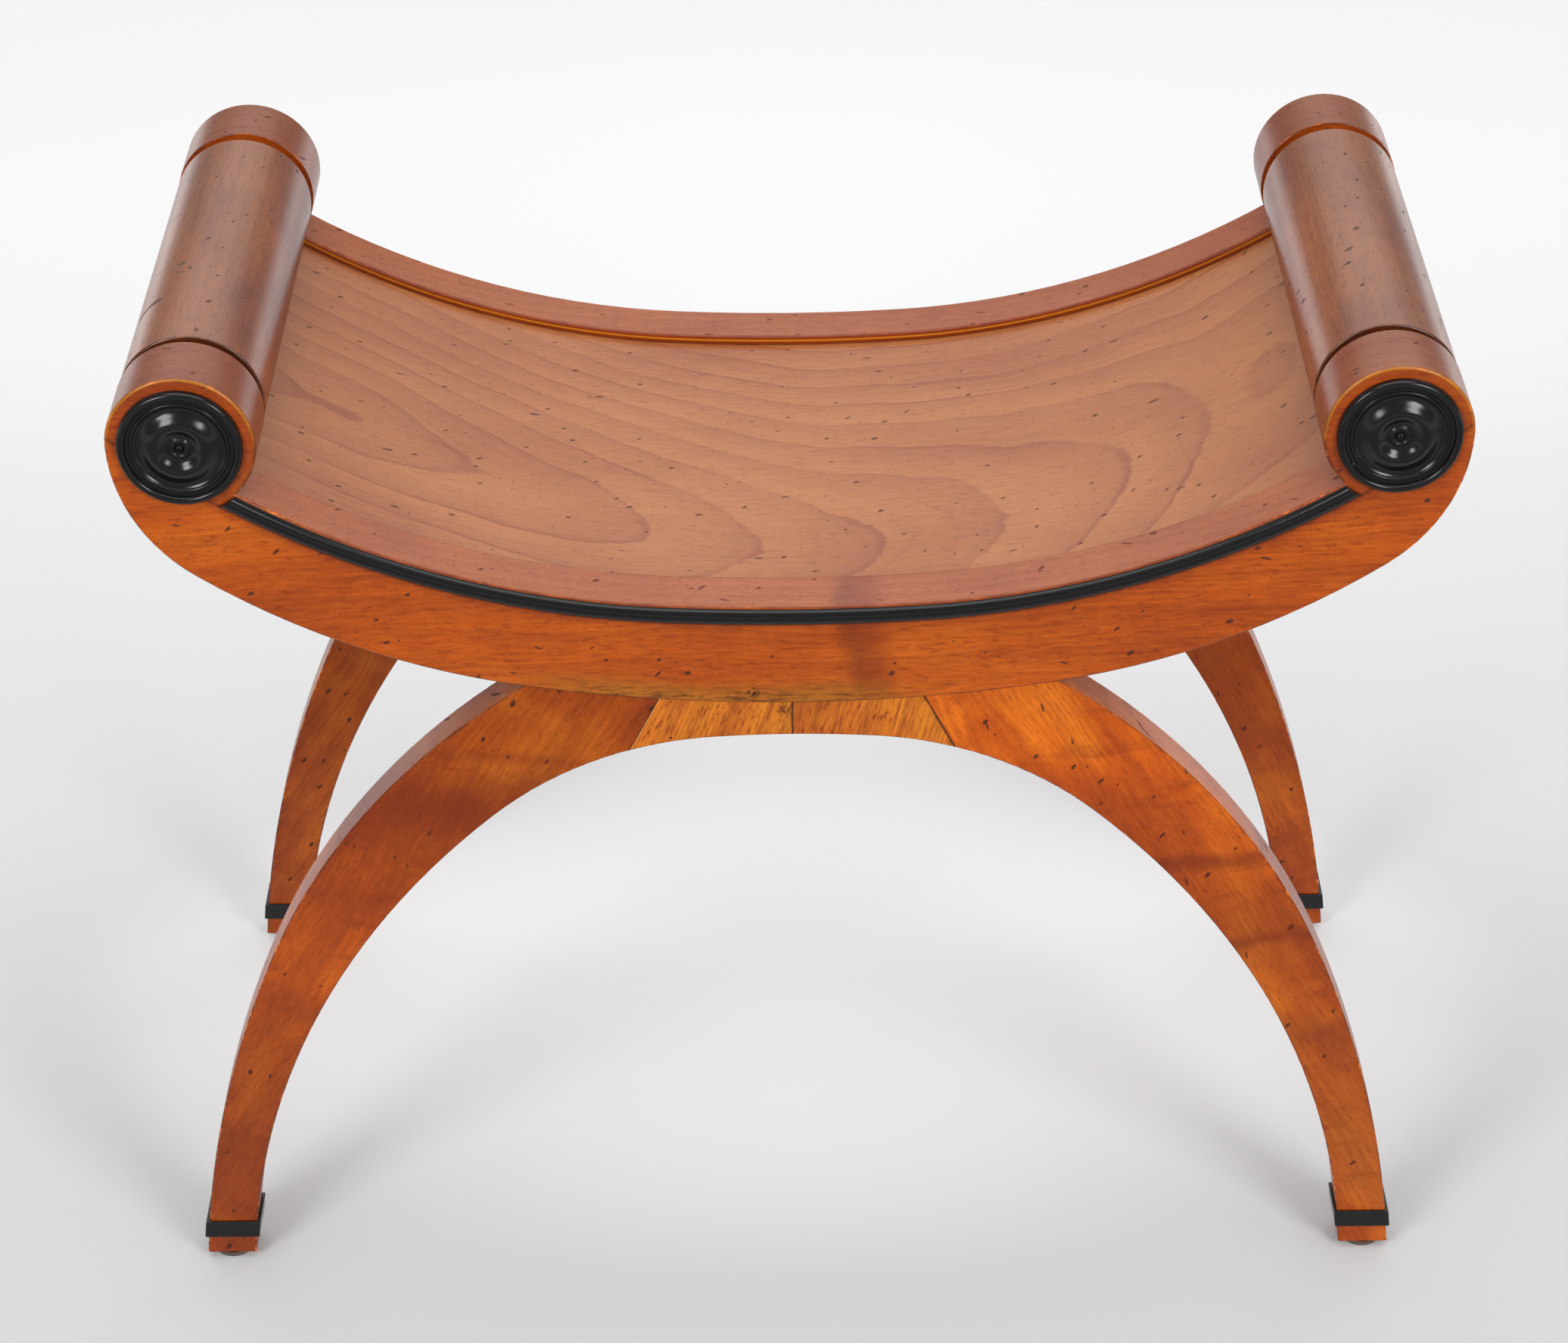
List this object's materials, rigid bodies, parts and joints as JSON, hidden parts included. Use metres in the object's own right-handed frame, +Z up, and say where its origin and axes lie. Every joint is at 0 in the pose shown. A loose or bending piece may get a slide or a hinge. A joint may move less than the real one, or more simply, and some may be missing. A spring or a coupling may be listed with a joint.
{
  "type": "x frame stool",
  "caption": "Rigid Regency style bench stool: dished seat between turned end rollers, crescent rails on curved legs that form opposed arches, ebonised bead, rosettes and ankle collars",
  "frame": {"origin": "on the floor under the middle of the stool", "axes": "+X along the seat, to the right for someone facing the front frame, +Y from the front frame to the rear one, +Z up"},
  "size_m": [0.7004, 0.3542, 0.5769],
  "materials": {
    "cherry": "french polished, worn",
    "pale_cherry": "french polished, worn",
    "figured_veneer": "polished, cathedral grain",
    "secondary_wood": "planed, unfinished",
    "dowel_beech": "turned, glued",
    "ebonised_wood": "black lacquer, glossy",
    "black_steel": "black, glossy",
    "glide_steel": "dark brown, worn"
  },
  "bodies": {
    "root": {"front_rail": "cherry", "rear_rail": "cherry", "left_roller": "cherry", "right_roller": "cherry", "seat_veneer": "figured_veneer", "seat_panel": "secondary_wood", "left_batten": "secondary_wood", "right_batten": "secondary_wood", "front_bead": "ebonised_wood", "rear_bead": "ebonised_wood", "front_left_leg": "cherry", "front_left_block": "pale_cherry", "front_left_collar": "ebonised_wood", "front_left_rosette": "ebonised_wood", "front_left_glide": "glide_steel", "front_right_leg": "cherry", "front_right_block": "pale_cherry", "front_right_collar": "ebonised_wood", "front_right_rosette": "ebonised_wood", "front_right_glide": "glide_steel", "rear_left_leg": "cherry", "rear_left_block": "pale_cherry", "rear_left_collar": "ebonised_wood", "rear_left_rosette": "ebonised_wood", "rear_left_glide": "glide_steel", "rear_right_leg": "cherry", "rear_right_block": "pale_cherry", "rear_right_collar": "ebonised_wood", "rear_right_rosette": "ebonised_wood", "rear_right_glide": "glide_steel", "rosette_pins": "black_steel", "leg_dowels": "dowel_beech", "block_dowels": "dowel_beech", "scarf_dowels": "dowel_beech", "centre_dowels": "dowel_beech"}
  },
  "joints": []
}
